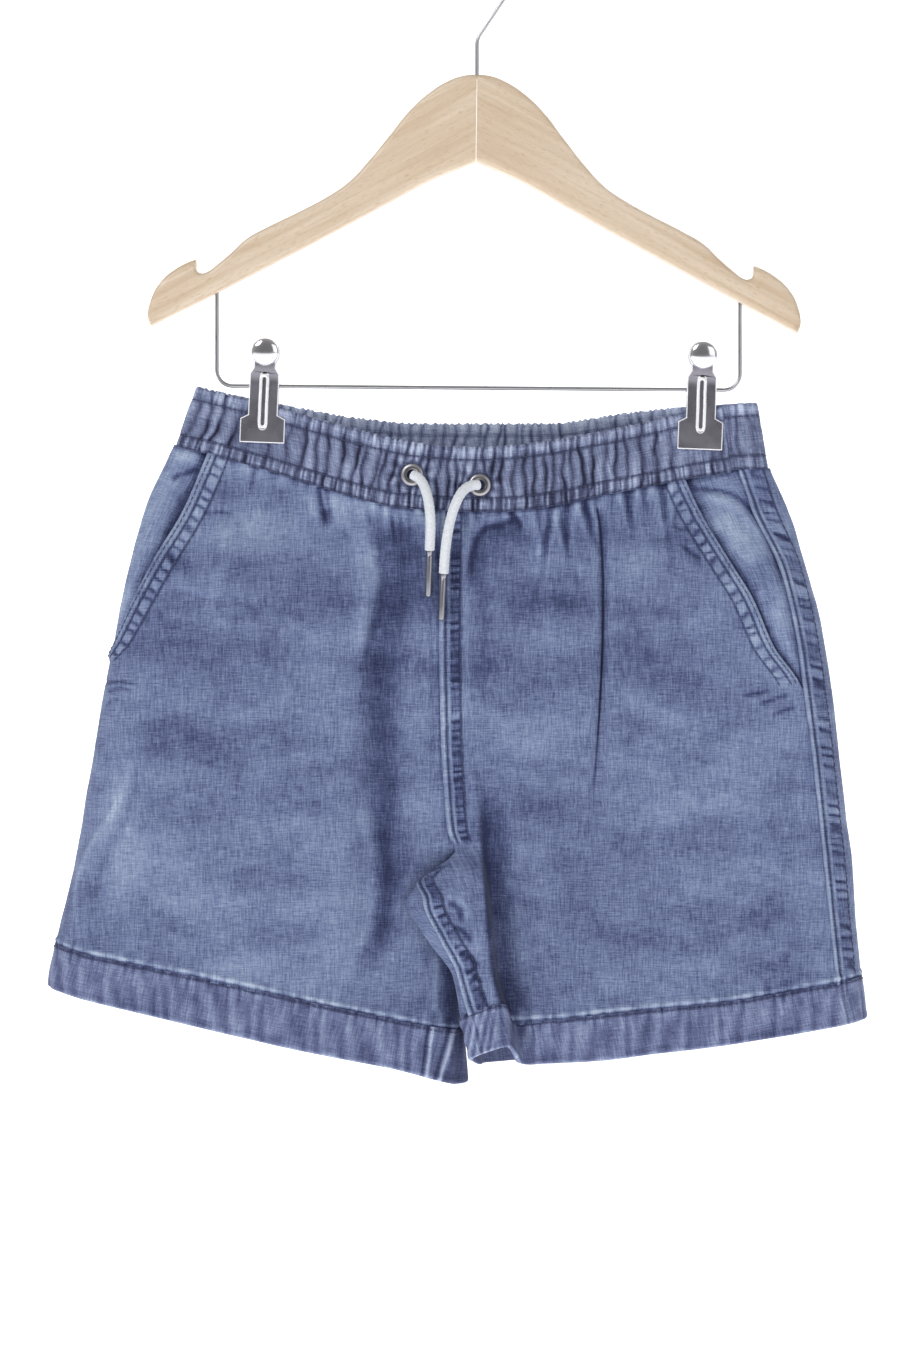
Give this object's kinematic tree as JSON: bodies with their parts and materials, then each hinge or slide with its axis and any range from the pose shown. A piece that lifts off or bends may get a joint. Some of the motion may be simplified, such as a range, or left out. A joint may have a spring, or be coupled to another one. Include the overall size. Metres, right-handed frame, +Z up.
{
  "type": "denim shorts on a clip hanger",
  "caption": "Child's pull-on denim shorts with a gathered drawcord waistband, slant pockets and wide hems, hung by the waistband from the clips of a wooden hanger.",
  "frame": {"origin": "inside top of the hanger's hook, where a rail carries it", "axes": "+Z up, the front of the shorts faces -Y, +X is the viewer's right looking at the front"},
  "size_m": [0.4101, 0.0446, 0.5819],
  "materials": {
    "denim": "matt woven light-blue denim",
    "drawcord": "matt white braided cotton",
    "eyelet": "satin antique nickel",
    "aglet": "polished grey metal",
    "wood": "clear satin varnish",
    "wire": "bright drawn wire",
    "clip": "polished sprung sheet"
  },
  "bodies": {
    "root": {"waistband_front": "denim", "waistband_back": "denim", "front_left": "denim", "front_right": "denim", "back_left": "denim", "back_right": "denim", "hem_left": "denim", "hem_right": "denim", "pocket_facing_left": "denim", "pocket_facing_right": "denim", "hanger_arm_left": "wood", "hanger_arm_right": "wood", "hook": "wire", "clip_bar": "wire", "clip_left": "clip", "clip_right": "clip", "eyelet_left": "eyelet", "eyelet_right": "eyelet", "drawcord_left": "drawcord", "drawcord_right": "drawcord", "aglet_left": "aglet", "aglet_right": "aglet"}
  },
  "joints": []
}
